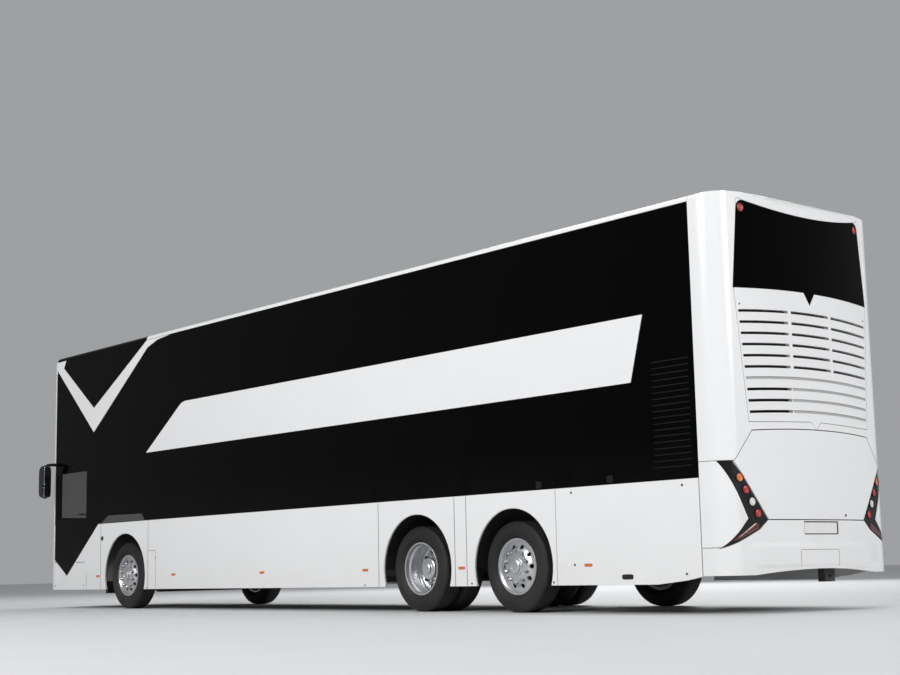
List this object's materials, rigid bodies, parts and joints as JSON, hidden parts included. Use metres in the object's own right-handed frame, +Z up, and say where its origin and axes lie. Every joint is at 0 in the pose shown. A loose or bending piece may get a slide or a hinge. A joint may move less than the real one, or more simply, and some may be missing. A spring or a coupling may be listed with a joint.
{
  "type": "double-deck touring coach",
  "caption": "Long double-deck touring coach on three axles with a white body, dark flush glazing, louvred tail, swing-out doors and lift-up flaps.",
  "frame": {"origin": "on the ground below the middle of the body", "axes": "+X forwards, +Y to the left, +Z up"},
  "size_m": [14.15, 3.1, 4],
  "materials": {
    "white_paint": "gloss white coachwork paint",
    "dark_glass": "near-black flush glazing",
    "tinted_glass": "tinted laminated windscreen",
    "frame": "dark painted wall frame",
    "floor": "dark grey floor covering",
    "chassis": "black chassis paint",
    "steel": "satin steel",
    "dark_trim": "black moulded trim",
    "red_lens": "red lamp lens",
    "clear_lens": "clear lamp cover",
    "plate": "blank plate",
    "seat_cloth": "dark seat cloth",
    "tyre": "road tyre",
    "rim": "forged alloy wheel"
  },
  "bodies": {
    "coach": {"underframe": "chassis", "lower_floor": "floor", "upper_floor": "floor", "stairs": "steel", "side_wall_left": "frame", "side_wall_right": "frame", "front_pillars": "frame", "rear_pillars": "frame", "roof": "white_paint", "front_dome": "dark_glass", "front_brow": "white_paint", "front_mask": "white_paint", "windscreens": "tinted_glass", "glazing_left": "dark_glass", "glazing_right": "dark_glass", "white_bands": "white_paint", "skirt_left": "white_paint", "skirt_right": "white_paint", "rear_shell": "white_paint", "rear_window": "dark_glass", "louvre_panel": "white_paint", "rear_corners": "white_paint", "rear_bumper": "white_paint", "tail_lamps": "dark_trim", "tail_lenses": "red_lens", "number_plate": "plate", "headlamps": "clear_lens", "mirror_left": "dark_trim", "mirror_right": "dark_trim", "dashboard": "dark_trim", "lower_seats": "seat_cloth", "upper_seats": "seat_cloth", "engine": "chassis", "front_axle": "chassis", "drive_axle": "chassis", "tag_axle": "chassis"},
    "flap_left": {"flap_left": "white_paint"},
    "flap_right": {"flap_right": "white_paint"},
    "engine_lid": {"engine_lid": "white_paint"},
    "front_door_arm": {"front_door_arm": "steel"},
    "front_door": {"front_door": "dark_trim"},
    "middle_door_arm": {"middle_door_arm": "steel"},
    "middle_door": {"middle_door": "dark_trim"},
    "knuckle_left": {"knuckle_left": "chassis"},
    "knuckle_right": {"knuckle_right": "chassis"},
    "wheel_front_left": {"tyre_front_left": "tyre", "rim_front_left": "rim"},
    "wheel_front_right": {"tyre_front_right": "tyre", "rim_front_right": "rim"},
    "wheel_drive_left": {"tyre_drive_left": "tyre", "rim_drive_left": "rim"},
    "wheel_drive_right": {"tyre_drive_right": "tyre", "rim_drive_right": "rim"},
    "wheel_tag_left": {"tyre_tag_left": "tyre", "rim_tag_left": "rim"},
    "wheel_tag_right": {"tyre_tag_right": "tyre", "rim_tag_right": "rim"}
  },
  "joints": [
    {"name": "steer_left", "type": "hinge", "parent": "coach", "child": "knuckle_left", "pos_m": [4.46, 0.9725, 0.48], "axis": [0, 0, 1], "range_deg": [-45, 45]},
    {"name": "steer_right", "type": "hinge", "parent": "coach", "child": "knuckle_right", "pos_m": [4.46, -0.9725, 0.48], "axis": [0, 0, 1], "range_deg": [-45, 45]},
    {"name": "spin_front_left", "type": "hinge", "parent": "knuckle_left", "child": "wheel_front_left", "pos_m": [4.46, 1.1025, 0.48], "axis": [0, 1, 0], "continuous": true},
    {"name": "spin_front_right", "type": "hinge", "parent": "knuckle_right", "child": "wheel_front_right", "pos_m": [4.46, -1.1025, 0.48], "axis": [0, 1, 0], "continuous": true},
    {"name": "spin_drive_left", "type": "hinge", "parent": "coach", "child": "wheel_drive_left", "pos_m": [-2.425, 1.1025, 0.48], "axis": [0, 1, 0], "continuous": true},
    {"name": "spin_drive_right", "type": "hinge", "parent": "coach", "child": "wheel_drive_right", "pos_m": [-2.425, -1.1025, 0.48], "axis": [0, 1, 0], "continuous": true},
    {"name": "spin_tag_left", "type": "hinge", "parent": "coach", "child": "wheel_tag_left", "pos_m": [-4.045, 1.1025, 0.48], "axis": [0, 1, 0], "continuous": true},
    {"name": "spin_tag_right", "type": "hinge", "parent": "coach", "child": "wheel_tag_right", "pos_m": [-4.045, -1.1025, 0.48], "axis": [0, 1, 0], "continuous": true},
    {"name": "flap_left_lift", "type": "hinge", "parent": "coach", "child": "flap_left", "pos_m": [-5.69, 1.275, 1.261], "axis": [1, 0, 0], "range_deg": [0, 90]},
    {"name": "flap_right_lift", "type": "hinge", "parent": "coach", "child": "flap_right", "pos_m": [-5.69, -1.275, 1.261], "axis": [-1, 0, 0], "range_deg": [0, 90]},
    {"name": "engine_lid_lift", "type": "hinge", "parent": "coach", "child": "engine_lid", "pos_m": [-7.075, 0, 1.725], "axis": [0, 1, 0], "range_deg": [0, 80]},
    {"name": "front_door_swing", "type": "hinge", "parent": "coach", "child": "front_door_arm", "pos_m": [6.246, -1.16, 1.2], "axis": [0, 0, 1], "range_deg": [0, 150]},
    {"name": "front_door_leaf", "type": "hinge", "parent": "front_door_arm", "child": "front_door", "pos_m": [5.846, -1.16, 1.2], "axis": [0, 0, 1], "range_deg": [-150, 0]},
    {"name": "middle_door_swing", "type": "hinge", "parent": "coach", "child": "middle_door_arm", "pos_m": [-0.31, -1.16, 1.2], "axis": [0, 0, 1], "range_deg": [0, 150]},
    {"name": "middle_door_leaf", "type": "hinge", "parent": "middle_door_arm", "child": "middle_door", "pos_m": [-0.71, -1.16, 1.2], "axis": [0, 0, 1], "range_deg": [-150, 0]}
  ],
  "couplings": [
    {"joint": "steer_right", "follows": "steer_left", "ratio": 1},
    {"joint": "front_door_leaf", "follows": "front_door_swing", "ratio": -1},
    {"joint": "middle_door_leaf", "follows": "middle_door_swing", "ratio": -1}
  ]
}
